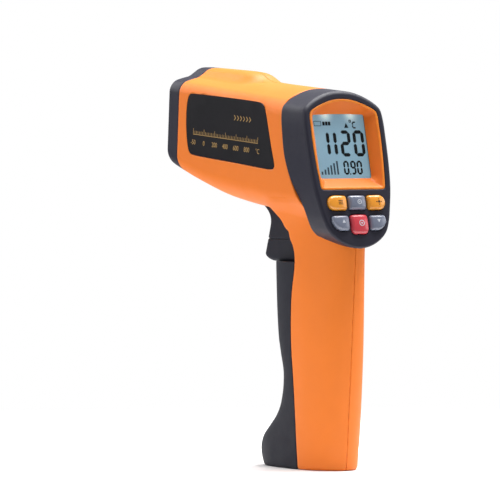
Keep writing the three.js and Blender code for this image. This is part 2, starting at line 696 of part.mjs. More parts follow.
for (const [number, spot] of Object.entries(SCREWS)) {
  add(`case_screw_${number}`, 'steel', caseScrew(spot));
}

export default group;
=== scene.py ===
"""Infrared thermometer: the finished visual model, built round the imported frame.

The moulded pieces are smooth signed-distance bodies. Shape lengths are millimetres in the part's own axes,
measured from LIFT above the base: the nose points along -X, the display faces +X and +Z is up.
"""
from math import cos, pi, radians, sin

import bmesh
import bpy
import numpy as np
from mathutils import Matrix, Vector


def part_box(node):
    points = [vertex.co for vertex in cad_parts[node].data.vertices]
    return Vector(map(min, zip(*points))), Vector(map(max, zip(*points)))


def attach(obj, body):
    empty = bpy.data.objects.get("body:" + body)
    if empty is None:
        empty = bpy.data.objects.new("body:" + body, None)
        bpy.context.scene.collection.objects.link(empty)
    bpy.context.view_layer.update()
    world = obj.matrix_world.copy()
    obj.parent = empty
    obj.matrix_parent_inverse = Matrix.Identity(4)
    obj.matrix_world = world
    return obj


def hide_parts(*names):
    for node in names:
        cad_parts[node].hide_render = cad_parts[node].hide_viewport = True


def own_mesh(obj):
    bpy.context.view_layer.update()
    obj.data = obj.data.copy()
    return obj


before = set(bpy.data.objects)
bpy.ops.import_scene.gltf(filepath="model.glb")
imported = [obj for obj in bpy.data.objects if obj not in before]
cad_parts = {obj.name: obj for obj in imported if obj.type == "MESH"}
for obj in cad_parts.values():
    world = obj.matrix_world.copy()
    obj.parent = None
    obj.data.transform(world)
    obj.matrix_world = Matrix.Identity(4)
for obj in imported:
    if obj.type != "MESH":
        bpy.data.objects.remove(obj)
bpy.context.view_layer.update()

# Shared dimensions.
LIFT = 1.3
PITCH = radians(3.8)
BARREL_Z = 175
TILT = radians(14)
FACE_X, FACE_Z = 36.63, 160
HALF_WIDTH = 23.5
RIDGE_HEIGHT = 19.8
COLLAR_START = 94.6
NOSE_END = 105.4
WALL = 2.2
FACE_PLATE = 2.5
DOOR_TOP_Z = 104.6
HANDLE_TOP_Z = 136
LENS_HEIGHT = -7
LASER_HEIGHT = 17.2
LCD_DEPTH = 7
KEY_PROUD = 2.4
KEY_ROOT = 2.3
HAIRLINE = 0.07
DOOR_PIVOT = (9, 1.4)
SCREWS = ((26, 9), (30, 92), (-46, 147), (-84, 153.6))

# Side profiles as (x, z), then half outlines of the rear face as (y, height along the face).
RING_FRONT = [
    (7.6, 208), (9.2, 188), (8.9, 183), (9.8, 175), (11.3, 163), (13.4, 156),
    (17, 148), (22, 140.6), (25, 136), (27.4, 130), (28, 121)]
GRIP_LINE = [
    (-18, 134.2), (-12.2, 132.8), (-8.4, 131.2), (-4, 128.9), (-0.2, 126.4), (1.8, 122.8), (5.2, 121),
    (5.5, 119.6), (5.9, 117), (7.8, 114.6), (9.2, 111.6), (9.9, 108.4), (10.1, 105), (9.2, 99), (7, 90),
    (6.2, 80), (6.2, 63), (8.7, 45), (10.4, 27), (11.3, 14), (11.9, -3)]
LABEL_LINE = [
    (-79.8, 191.6), (-14.2, 187.6), (-9.6, 186.4), (-7.8, 184.4), (-5.6, 178.6), (-1.2, 162.6),
    (1.6, 155.6), (1.2, 153.4), (-1.4, 152.4), (-35.4, 155.6), (-80.6, 159.2), (-83.4, 160.6),
    (-85, 164), (-86, 169.4), (-86.4, 177.4), (-85.9, 184), (-84.6, 188.8), (-82.8, 191)]
TRIGGER_LINE = [
    (-35, 136), (-30, 133), (-25.2, 129.6), (-23.4, 125.8), (-25, 121), (-26.4, 116.6),
    (-28.2, 111.4), (-29.2, 108.6), (-28.2, 106.9), (-24.4, 105.4), (-20, 104.85), (7, 104.85),
    (10, 106.8), (9.6, 111), (8, 115.4), (5.6, 119.4), (2, 124), (-1.6, 128), (-6.4, 131),
    (-12, 133.4), (-15.4, 138), (-17.6, 142.4), (-20.4, 143.8), (-23.6, 143.8), (-26, 141.6), (-27.4, 138)]
FACE_OUTLINE = [
    (0, 34), (7, 33.3), (13.5, 31.1), (19.6, 27.7), (23, 24.4), (24.1, 19), (24.3, 7), (24.1, -5),
    (23.2, -17), (21.4, -27), (19.6, -34.5), (17.2, -40.1), (12.7, -44.5), (6.3, -47.7), (0, -48.7)]
WINDOW_OUTLINE = [
    (0, 30.1), (6, 29.5), (13, 27.2), (18.6, 24.4), (20.2, 22.6), (20.8, 14), (20.8, 4),
    (20.2, -8), (19.5, -15.8), (19.1, -17.1), (18, -17.6), (9, -17.7), (0, -17.7)]

# Keys: left, right, bottom, top, then the radii of the top left, top right, low right and low left corners.
KEYS = {
    "set": (-16.9, -5.7, -28.5, -20.9, (3.8, 1.4, 1.4, 3.8)),
    "mode": (-4.6, 5.7, -28.4, -20.9, (1.4, 1.4, 1.4, 1.4)),
    "laser": (6.8, 17.4, -28.5, -20.9, (1.4, 3.8, 3.8, 1.4)),
    "up": (-15.7, -5.7, -39.2, -31.3, (1.4, 1.4, 1.4, 6)),
    "scan": (-4.6, 5.6, -41, -30.9, (1.4, 1.4, 2.4, 2.4)),
    "down": (6.8, 16.5, -39.2, -31.3, (1.4, 1.4, 6, 1.4)),
}


def hermite(t, start, end, leave, reach):
    """Between two points with given slopes, for t from 0 to 1."""
    return ((2 * t**3 - 3 * t**2 + 1) * start + (t**3 - 2 * t**2 + t) * leave
            + (3 * t**2 - 2 * t**3) * end + (t**3 - t**2) * reach)


class Profile:
    """A smooth curve through (key, value) pairs, with its slope."""

    def __init__(self, *pairs):
        key, value = np.array(pairs, float).T
        slope = np.empty_like(value)
        slope[0] = (value[1] - value[0]) / (key[1] - key[0])
        slope[-1] = (value[-1] - value[-2]) / (key[-1] - key[-2])
        slope[1:-1] = (value[2:] - value[:-2]) / (key[2:] - key[:-2])
        self.keys = np.linspace(key[0], key[-1], 1200)
        i = np.clip(np.searchsorted(key, self.keys, "right") - 1, 0, len(key) - 2)
        span = key[i + 1] - key[i]
        t = (self.keys - key[i]) / span
        self.values = hermite(t, value[i], value[i + 1], slope[i] * span, slope[i + 1] * span)
        self.slopes = np.gradient(self.values, self.keys)

    def __call__(self, key):
        return np.interp(key, self.keys, self.values)

    def slope(self, key):
        return np.interp(key, self.keys, self.slopes)


BARREL_BOTTOM = Profile(
    (-40, -44.4), (0, -44), (27, -43), (48, -41.2), (60, -39.3), (84, -34.1), (102, -29.6), (108, -27.9))
RIDGE_RADIUS = Profile((-40, 36), (0, 38), (60, 50), (100, 62), (110, 62))
HUMP_RISE = Profile((29, -4), (36, -1.6), (42, 0.6), (48, 3.3), (55, 4.3), (75, 4.2), (110, 3.5))
HANDLE_BACK = Profile((0, 34), (32, 36.7), (66, 39.4), (100, 42), (136, 44))
HANDLE_FRONT = Profile(
    (0, -33.6), (4, -35.4), (9, -35.8), (14.6, -32.8), (19.7, -26.2), (24.8, -19.2), (30, -14.4),
    (35, -12), (41, -10.4), (49, -10.4), (58, -13.6), (67, -16.2), (86, -17.8), (136, -18.6))
HANDLE_AXIS = Profile((0, 23.5), (60, 24.5), (105, 33), (136, 36))
HANDLE_WIDTH = Profile(
    (0, 15.8), (12, 16.3), (30, 16.5), (100, 16.5), (113, 16.6), (124, 17.7), (136, 20.6))


# Plane curves.
def cut_corners(points, closed, rounds=3):
    """A polygon whose corners are rounded off and whose long sides stay straight."""
    points = np.array(points, float)
    for _ in range(rounds):
        after = np.roll(points, -1, 0) if closed else points[1:]
        before = points if closed else points[:-1]
        both = np.stack([before * 0.75 + after * 0.25, before * 0.25 + after * 0.75], 1).reshape(-1, 2)
        points = both if closed else np.vstack([points[:1], both, points[-1:]])
    return points


def through(points, steps=8):
    """A smooth closed curve through its points."""
    points = np.array(points, float)
    before, after = np.roll(points, 1, 0), np.roll(points, -1, 0)
    later = np.roll(points, -2, 0)
    pairs = ((before, points), (points, after), (after, later))
    gap = [np.linalg.norm(b - a, axis=1)[:, None] ** 0.5 for a, b in pairs]
    leave = (points - before) / gap[0] - (after - before) / (gap[0] + gap[1]) + (after - points) / gap[1]
    reach = (after - points) / gap[1] - (later - points) / (gap[1] + gap[2]) + (later - after) / gap[2]
    t = (np.arange(steps) / steps)[None, :, None]
    parts = [part[:, None] for part in (points, after, leave * gap[1], reach * gap[1])]
    return hermite(t, *parts).reshape(-1, 2)


def mirrored(half):
    """A closed outline from its right half."""
    inner = [(-x, y) for x, y in reversed(half) if x > 0]
    return through(list(half) + inner)


class Outline:
    """Signed distance to a closed plane outline, negative inside, read from a fine grid."""

    def __init__(self, points, pitch=0.25, margin=5):
        points = np.array(points, float)
        self.low = points.min(0) - margin
        self.count = np.ceil((points.max(0) + margin - self.low) / pitch).astype(int) + 1
        self.pitch = pitch
        x = self.low[0] + np.arange(self.count[0])[:, None] * pitch
        y = self.low[1] + np.arange(self.count[1])[None, :] * pitch
        nearest = np.full(self.count, 1e9)
        inside = np.zeros(self.count, bool)
        for (ax, ay), (bx, by) in zip(points, np.roll(points, -1, 0)):
            dx, dy = bx - ax, by - ay
            share = np.clip(((x - ax) * dx + (y - ay) * dy) / (dx * dx + dy * dy + 1e-12), 0, 1)
            nearest = np.minimum(nearest, (x - ax - share * dx) ** 2 + (y - ay - share * dy) ** 2)
            if ay != by:
                inside ^= ((ay > y) != (by > y)) & (x < dx * (y - ay) / dy + ax)
        self.grid = np.where(inside, -1, 1) * np.sqrt(nearest)

    def __call__(self, x, y):
        u = (x - self.low[0]) / self.pitch
        v = (y - self.low[1]) / self.pitch
        cu, cv = np.clip(u, 0, self.count[0] - 1.001), np.clip(v, 0, self.count[1] - 1.001)
        i, j = cu.astype(int), cv.astype(int)
        a, b = cu - i, cv - j
        g = self.grid
        low = g[i, j] * (1 - a) + g[i + 1, j] * a
        high = g[i, j + 1] * (1 - a) + g[i + 1, j + 1] * a
        return low * (1 - b) + high * b + np.hypot(u - cu, v - cv) * self.pitch


def ring_outline():
    """The rear face's outline, seen along the barrel."""
    base = FACE_X * sin(PITCH) + (FACE_Z - BARREL_Z) * cos(PITCH)
    scale = cos(TILT) * cos(PITCH) - sin(TILT) * sin(PITCH)
    return [(x, base + y * scale) for x, y in mirrored(FACE_OUTLINE)]


RING = Outline(ring_outline(), pitch=0.15)
WINDOW = Outline(mirrored(WINDOW_OUTLINE), pitch=0.2)
LABEL_CURVE = cut_corners(LABEL_LINE, closed=True)
LABEL = Outline(LABEL_CURVE)
TRIGGER = Outline(cut_corners(TRIGGER_LINE, closed=True))
FRONT_ZONE = Outline([*cut_corners(GRIP_LINE, closed=False), (-70, -3), (-70, 137), (-18, 137)])
RING_CURVE = [tuple(point) for point in cut_corners(RING_FRONT, closed=False)]
RING_ZONE = Outline([*RING_CURVE, (28, 108), (80, 108), (80, 208)])
CASING_ZONE = Outline([*RING_CURVE, (80, 121), (80, 208)])


# Signed distances.
def corner(a, b, radius):
    """What lies in both bodies, with the edge between them rounded."""
    return np.minimum(-radius, np.maximum(a, b)) + np.hypot(
        np.maximum(radius + a, 0), np.maximum(radius + b, 0))


def fillet(a, b, radius):
    """Both bodies, with the corner between them filled."""
    return -corner(-a, -b, radius)


def brick(x, y, z, low, high):
    """A plain box."""
    return np.maximum.reduce([low[0] - x, x - high[0], low[1] - y, y - high[1], low[2] - z, z - high[2]])


def rect(x, y, left, right, bottom, top, radii):
    """A rectangle with its own radius at each corner."""
    dx, dy = x - (left + right) / 2, y - (bottom + top) / 2
    top_left, top_right, low_right, low_left = radii
    radius = np.where(dx > 0, np.where(dy > 0, top_right, low_right), np.where(dy > 0, top_left, low_left))
    qx = np.abs(dx) - (right - left) / 2 + radius
    qy = np.abs(dy) - (top - bottom) / 2 + radius
    return np.minimum(np.maximum(qx, qy), 0) + np.hypot(np.maximum(qx, 0), np.maximum(qy, 0)) - radius


def barrel_axes(p):
    """Across, up and forward along the barrel."""
    x, z = p[:, 0], p[:, 2] - BARREL_Z
    return p[:, 1], x * sin(PITCH) + z * cos(PITCH), z * sin(PITCH) - x * cos(PITCH)


def face_axes(p):
    """Across, up and out of the rear face."""
    x, z = p[:, 0] - FACE_X, p[:, 2] - FACE_Z
    return p[:, 1], z * cos(TILT) - x * sin(TILT), x * cos(TILT) + z * sin(TILT)


def barrel(p):
    """Arched top, flat sides, rounded lower edges."""
    y, up, station = barrel_axes(p)
    ridge = RIDGE_RADIUS(station)
    side = np.abs(y) - HALF_WIDTH
    top = np.hypot(y, up - RIDGE_HEIGHT + ridge) - ridge
    t = np.clip((station - 30) / 70, 0, 1)
    low = corner(side, BARREL_BOTTOM(station) - up, 13 - 3.6 * t * t * (3 - 2 * t))
    return np.maximum(corner(side, top, 4.5), low)


def hump(p):
    """The raised spine that holds the laser."""
    y, up, station = barrel_axes(p)
    rise = HUMP_RISE(station)
    tall = np.maximum(rise + 2.4, 0.3)
    t = np.maximum(up - 17.4, 0) / tall
    wide = (12 - 4.6 * np.clip(t, 0, 1)) * (0.6 + 0.4 * rise / 4.4)
    power = 2 / 0.55
    across = np.abs(y) / wide
    g = (across**power + t**power) ** (1 / power) + 1e-6
    spine = (g - 1) / np.hypot((across / g) ** (power - 1) / wide, (t / g) ** (power - 1) / tall)
    return np.maximum(spine, 12 - up)


def handle(p):
    """Elliptical behind, squarer in front, flared at its top and its toe."""
    x, y, z = p.T
    axis, wide = HANDLE_AXIS(z), HANDLE_WIDTH(z)
    middle = HANDLE_BACK(z) - axis
    rear = x > middle
    reach = np.where(rear, axis, middle - HANDLE_FRONT(z))
    power = np.where(rear, 2.0, 3.2)
    gx, gy = np.abs(x - middle) / reach, np.abs(y) / wide
    g = (gx**power + gy**power) ** (1 / power) + 1e-6
    fx, fy = (gx / g) ** (power - 1) / reach, (gy / g) ** (power - 1) / wide
    drift = HANDLE_BACK.slope(z) - HANDLE_AXIS.slope(z)
    growth = np.where(rear, HANDLE_AXIS.slope(z), drift - HANDLE_FRONT.slope(z))
    fz = -fx * gx * growth - fy * gy * HANDLE_WIDTH.slope(z) - np.sign(x - middle) * fx * drift
    return (g - 1) / np.sqrt(fx * fx + fy * fy + fz * fz)


def rounded_base(body, z):
    return corner(body, -LIFT - z, 1.9)


def rod(x, z, spot, radius):
    return np.hypot(x - spot[0], z - spot[1]) - radius


def shell(side):
    """One moulded half of the case."""
    def field(p):
        x, y, z = p.T
        _, up, station = barrel_axes(p)
        tube, grip = barrel(p), handle(p)
        spine = fillet(tube, hump(p), 2.4)
        stock = rounded_base(np.maximum(grip, z - HANDLE_TOP_Z), z)
        whole = fillet(spine, stock, 3)
        outer = np.minimum(spine, corner(whole, -FRONT_ZONE(x, z), 0.6))
        outer = corner(outer, station - COLLAR_START + HAIRLINE, 0.4)
        under_ring = np.maximum(CASING_ZONE(x, z), np.minimum(RING(y, up) - 0.05, 126 - z))
        outer = corner(outer, 2 * HAIRLINE - under_ring, 0.4)
        pocket = np.maximum(HALF_WIDTH - 0.45 - np.abs(y), LABEL(x, z) - 0.2)
        outer = corner(outer, -pocket, 0.3)
        room = np.minimum(np.maximum(tube + WALL, -38 - station), brick(
            np.abs(y), up, station, (-1, 14, 60), (4.8, 22, 106)))
        room = np.minimum(room, np.maximum.reduce([grip + WALL, 1 - z, z - 138]))
        cheek = brick(x, np.abs(y), z, (-38, 11.2, 102), (6, 23.2, 136))
        slot = brick(x, np.abs(y), z, (-36, -1, 129), (-8, 11.2, 141))
        body = np.maximum(outer, -np.minimum(np.maximum(room, -cheek), slot))
        for spot in SCREWS:
            body = np.minimum(body, np.maximum(rod(x, z, spot, 3.1), outer))
        ear = brick(x, np.abs(y), z, (9, 9.4, -0.8), (14.6, 13.4, 3.6))
        knuckle = np.maximum(rod(x, z, DOOR_PIVOT, 2.2), np.abs(np.abs(y) - 11.4) - 2)
        body = np.minimum(body, np.maximum(np.minimum(ear, knuckle), stock))
        if side > 0:
            for spot in SCREWS:
                sunk = np.maximum(rod(x, z, spot, 2.9), 5.9 - y)
                body = corner(body, -sunk, 0.25)
        return corner(body, HAIRLINE / 2 - side * y, 0.28)
    return field


def nose_collar(p):
    y, up, station = barrel_axes(p)
    tube = barrel(p)
    outer = corner(fillet(tube, hump(p), 2.4), COLLAR_START + HAIRLINE - station, 0.4)
    outer = corner(outer, station - NOSE_END, 1.5)
    body = np.maximum(outer, -np.maximum(tube + 2.4, station - 102.8))
    mouth = np.hypot(y, up - LENS_HEIGHT) - 15.4 - 0.2 * (station - 100)
    body = corner(body, -mouth, 0.5)
    body = np.maximum(body, -np.maximum(np.hypot(y, up - LASER_HEIGHT) - 4.6, station - 103.4))
    return corner(body, 2.6 - np.hypot(y, up - LASER_HEIGHT - 0.6), 0.3)


def rear_bezel(p):
    x, _, z = p.T
    y, up, _ = barrel_axes(p)
    across, high, out = face_axes(p)
    ring = RING(y, up)
    outer = corner(corner(ring, out, 1.9), RING_ZONE(x, z) + HAIRLINE, 0.5)
    room = np.maximum.reduce([ring + 2.4, out + FACE_PLATE, -42.4 - high])
    body = np.maximum(outer, -room)
    body = corner(body, -np.maximum(handle(p) - 0.12, z - 121.2), 0.15)
    hole = WINDOW(across, high)
    for left, right, bottom, top, radii in KEYS.values():
        hole = np.minimum(hole, rect(across, high, left, right, bottom, top, radii) - 0.2)
    return corner(body, -np.maximum(hole, -8 - out), 0.45)


def display_frame(p):
    across, high, out = face_axes(p)
    window = WINDOW(across, high)
    outer = np.maximum(corner(window + 0.08, out + 0.15, 0.35), -6 - out)
    t = np.clip(-out / 6.2, 0, 1)
    pocket = (window + 1.1) * (1 - t) + rect(across, high, -15.2, 15.2, -10.1, 22.8, (1, 1, 1, 1)) * t
    return corner(outer, -pocket, 0.35)


def trigger(p):
    x, y, z = p.T
    body = corner(TRIGGER(x, z), np.abs(y) - 10.5, 2)
    notch = np.maximum(np.abs(z - 116.6) - 0.4, -body - 0.45)
    return corner(body, -notch, 0.2)


def battery_door(p):
    x, y, z = p.T
    grip = handle(p)
    play = 0.12 + 0.2 * np.clip((16 - z) / 8, 0, 1)
    outer = corner(rounded_base(grip, z), FRONT_ZONE(x, z) + play, 0.5)
    rim = np.clip((np.abs(y) - 10.7) / 0.6, 0, 1)
    outer = corner(outer, z - DOOR_TOP_Z - 0.6 * rim, 0.1)
    room = np.maximum.reduce([grip + 2.4, 1.1 - z, z - DOOR_TOP_Z + 2.4])
    ear_room = brick(x, np.abs(y), z, (6.1, 9, -7), (15.1, 13.8, 5))
    body = np.maximum(np.maximum(outer, -room), -ear_room)
    knuckle = np.maximum(rod(x, z, DOOR_PIVOT, 2.3), np.abs(y) - 8.6)
    leaf = brick(x, np.abs(y), z, (1, -1, -0.7), (9, 8.6, 1.9))
    body = np.minimum(body, np.minimum(knuckle, leaf))
    heel = np.maximum(brick(x, y, z, (9, -20, -6.6), (17, 20, 1.4)), -rod(x, z, DOOR_PIVOT, 2.6))
    return np.maximum(body, -heel)


def key_top(name, across, high):
    """The level of a key's crowned top."""
    left, right, bottom, top, _ = KEYS[name]
    return KEY_PROUD - 0.03 * ((across - (left + right) / 2) ** 2 + (high - (bottom + top) / 2) ** 2)


def key(name):
    left, right, bottom, top, radii = KEYS[name]

    def field(p):
        across, high, out = face_axes(p)
        sides = rect(across, high, left, right, bottom, top, radii)
        return np.maximum(corner(sides, out - key_top(name, across, high), 1.5), -KEY_ROOT - out)
    return field


def screw(p):
    """A countersunk cross-head screw that enters along -Y."""
    x, y, z = p.T
    radius = np.hypot(x, z)
    head = corner(radius - 2.6, y - 8.2, 0.5)
    body = np.minimum(np.maximum(head, 6.1 - y), np.maximum(radius - 1.05, np.abs(y + 0.5) - 7.5))
    depth = 6.9 + 0.55 * np.maximum(np.abs(x), np.abs(z))
    cross = np.maximum(np.minimum(np.abs(x), np.abs(z)) - 0.42, depth - y)
    return corner(body, -np.maximum(cross, radius - 1.9), 0.12)


# Meshes.
def linked(name, data):
    """A new object in the scene."""
    obj = bpy.data.objects.new(name, data)
    bpy.context.scene.collection.objects.link(obj)
    return obj


def sampled(field, low, high, pitch, block=8):
    """The field on a grid, exact near the surface and by sign elsewhere."""
    counts = np.ceil((high - low) / pitch / block).astype(int)
    centres = low + (np.indices(counts).reshape(3, -1).T + 0.5) * block * pitch
    rough = field(centres)
    near = (np.abs(rough) < block * pitch * 1.3 + 0.6).reshape(counts)

    def grow(a):
        return a.repeat(block, 0).repeat(block, 1).repeat(block, 2)

    values = np.pad(grow(np.sign(rough).reshape(counts)), ((0, 1),) * 3, mode="edge").astype(np.float32)
    fine = grow(near)
    mask = np.zeros(values.shape, bool)
    for i, j, k in np.ndindex(2, 2, 2):
        mask[i:i + fine.shape[0], j:j + fine.shape[1], k:k + fine.shape[2]] |= fine
    spots = np.argwhere(mask)
    found = [field(low + part * pitch) for part in np.array_split(spots, len(spots) // 300000 + 1)]
    values[mask] = np.concatenate(found)
    return values


def net(values):
    """Quads round the zero level: one point in each cell that it crosses."""
    inside = values < 0
    n = np.array(values.shape) - 1
    corners = list(np.ndindex(2, 2, 2))
    total = sum(inside[i:i + n[0], j:j + n[1], k:k + n[2]].astype(np.int8) for i, j, k in corners)
    active = (total > 0) & (total < 8)
    cells = np.argwhere(active)
    number = np.full(active.shape, -1, np.int64)
    number[active] = np.arange(len(cells))
    points, weight = np.zeros((len(cells), 3)), np.zeros(len(cells))
    for a in corners:
        for axis in range(3):
            if a[axis]:
                continue
            step = np.eye(3, dtype=int)[axis]
            start, end = cells + a, cells + a + step
            v0, v1 = values[tuple(start.T)], values[tuple(end.T)]
            crossing = (v0 < 0) != (v1 < 0)
            share = np.where(crossing, v0 / np.where(crossing, v0 - v1, 1), 0)
            points += np.where(crossing[:, None], start + share[:, None] * step, 0)
            weight += crossing
    points /= weight[:, None]
    quads = []
    for axis in range(3):
        u, v = (axis + 1) % 3, (axis + 2) % 3
        ahead = [slice(None)] * 3
        behind = [slice(None)] * 3
        ahead[axis], behind[axis] = slice(1, None), slice(None, -1)
        change = inside[tuple(ahead)] != inside[tuple(behind)]
        at = np.argwhere(change)
        at = at[(at[:, u] > 0) & (at[:, v] > 0) & (at[:, u] < n[u]) & (at[:, v] < n[v])]
        du, dv = np.eye(3, dtype=int)[u], np.eye(3, dtype=int)[v]
        quad = np.stack([number[tuple((at - back).T)] for back in (du + dv, dv, 0 * du, du)], 1)
        outward = inside[tuple(at.T)]
        quads.append(np.where(outward[:, None], quad, quad[:, ::-1]))
    return points, np.concatenate(quads)


def slopes(field, points, step=0.12):
    """The field, its slope and its bend at some points."""
    value = field(points)
    sides = []
    bend = np.zeros(len(points))
    for axis in range(3):
        shift = np.eye(3)[axis] * step
        ahead, behind = field(points + shift), field(points - shift)
        sides.append((ahead - behind) / (2 * step))
        bend += (ahead + behind - 2 * value) / step**2
    return value, np.stack(sides, 1), bend


def onto(field, points, reach, rounds=3):
    """Points moved onto the surface, with its normals and bend there."""
    for _ in range(rounds):
        value, slope, _ = slopes(field, points)
        move = -value / np.maximum((slope**2).sum(1), 0.05)
        far = np.linalg.norm(slope, axis=1) * np.abs(move)
        move *= np.minimum(1, reach / np.maximum(far, 1e-9))
        points = points + slope * move[:, None]
    _, slope, bend = slopes(field, points)
    return points, slope / np.maximum(np.linalg.norm(slope, axis=1), 1e-9)[:, None], bend


def baked(obj):
    """A new mesh of an object as it is evaluated."""
    bpy.context.view_layer.update()
    return bpy.data.meshes.new_from_object(obj.evaluated_get(bpy.context.evaluated_depsgraph_get()))


def moulded(name, field, low, high, pitch, keep=0.4):
    """A mesh object of a field, thinned where it is smooth, shaded with the field's own normals."""
    low, high = np.array(low, float) - 1.5 * pitch, np.array(high, float) + 1.5 * pitch
    points, quads = net(sampled(field, low, high, pitch))
    points, _, _ = onto(field, low + points * pitch, pitch)
    mesh = bpy.data.meshes.new(name)
    mesh.from_pydata((points / 1000).tolist(), [], quads.tolist())
    obj = linked(name, mesh)
    obj.modifiers.new("thin", "DECIMATE").ratio = keep
    thinned = baked(obj)
    obj.modifiers.clear()
    obj.data = thinned
    bpy.data.meshes.remove(mesh)
    mesh = thinned
    mesh.name = name
    points = np.empty(len(mesh.vertices) * 3)
    mesh.vertices.foreach_get("co", points)
    points, normals, bend = onto(field, points.reshape(-1, 3) * 1000, pitch, rounds=2)
    points[:, 2] += LIFT
    mesh.vertices.foreach_set("co", (points / 1000).ravel())
    edge = mesh.attributes.new("edge", "FLOAT", "POINT")
    edge.data.foreach_set("value", np.clip(bend, -4, 4))
    mesh.shade_smooth()
    mesh.normals_split_custom_set_from_vertices(normals.tolist())
    return obj


def finish_mesh(name, build, sharp=None):
    """A mesh object from a bmesh in metres, smooth up to the sharp angle in degrees, or flat without one."""
    mesh = bpy.data.meshes.new(name)
    bmesh.ops.recalc_face_normals(build, faces=build.faces)
    build.to_mesh(mesh)
    build.free()
    if sharp:
        mesh.shade_smooth()
        mesh.set_sharp_from_angle(angle=radians(sharp))
    return linked(name, mesh)


def round_edges(build, edges, radius, segments):
    bmesh.ops.bevel(build, geom=list(edges), offset=radius / 1000, segments=segments, profile=0.5,
                    affect="EDGES")


def circle(x, y, radius, parts):
    """Points evenly round a circle."""
    turns = [2 * pi * i / parts for i in range(parts)]
    return [(x + radius * cos(a), y + radius * sin(a)) for a in turns]


def join_rings(build, low, high):
    """Faces between two rings of points, either of which may be a single point."""
    around = max(len(low), len(high))
    for i in range(around):
        j = (i + 1) % around
        if len(low) == 1:
            build.faces.new((low[0], high[j], high[i]))
        elif len(high) == 1:
            build.faces.new((low[i], low[j], high[0]))
        else:
            build.faces.new((low[i], low[j], high[j], high[i]))


def turned(name, points, around=96):
    """A turned body on the lens axis, from (radius, station) points."""
    build = bmesh.new()
    rings = []
    for radius, station in points:
        spots = circle(0, LENS_HEIGHT, radius, around) if radius > 0 else [(0, LENS_HEIGHT)]
        rings.append([build.verts.new(barrel_point(y, up, station)) for y, up in spots])
    closed = len(rings[0]) > 1
    for low, high in zip(rings, rings[1:] + rings[:1] if closed else rings[1:]):
        join_rings(build, low, high)
    return finish_mesh(name, build, sharp=35)


def barrel_point(y, up, station):
    """A point in metres from the barrel's own axes."""
    x = up * sin(PITCH) - station * cos(PITCH)
    z = up * cos(PITCH) + station * sin(PITCH) + BARREL_Z + LIFT
    return Vector((x, y, z)) / 1000


def face_point(across, high, out):
    """A point in metres from the rear face's own axes."""
    x = FACE_X - high * sin(TILT) + out * cos(TILT)
    z = FACE_Z + high * cos(TILT) + out * sin(TILT) + LIFT
    return Vector((x, across, z)) / 1000


def side_point(side, level):
    """Points in metres on a plane beside the barrel."""
    return lambda x, z, out: Vector((x, side * (level + out), z + LIFT)) / 1000


def prisms(name, outlines, place, low, high, bevel=0.0):
    """Closed plates from plane outlines. low and high are levels, or functions of the outline's point."""
    build = bmesh.new()

    def level(value, x, y):
        return value(x, y) if callable(value) else value

    for outline in outlines:
        base = [build.verts.new(place(x, y, level(low, x, y))) for x, y in outline]
        top = [build.verts.new(place(x, y, level(high, x, y))) for x, y in outline]
        build.faces.new(base)
        lid = build.faces.new(top)
        join_rings(build, base, top)
        if bevel:
            round_edges(build, lid.edges, bevel, 3)
    return finish_mesh(name, build, sharp=40 if bevel else None)


def bevelled_box(name, node, radius):
    """A box with rounded edges in a node's place."""
    low, high = (Vector(point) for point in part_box(node))
    build = bmesh.new()
    bmesh.ops.create_cube(build, size=1)
    for vert in build.verts:
        vert.co = Vector(low[i] + (vert.co[i] + 0.5) * (high[i] - low[i]) for i in range(3))
    round_edges(build, build.edges, radius, 4)
    return finish_mesh(name, build, sharp=50)


# Materials.
def srgb(red, green, blue):
    """A linear colour from 0 to 255 display values."""
    shares = [c / 255 for c in (red, green, blue)]
    return (*(c / 12.92 if c <= 0.04045 else ((c + 0.055) / 1.055) ** 2.4 for c in shares), 1)


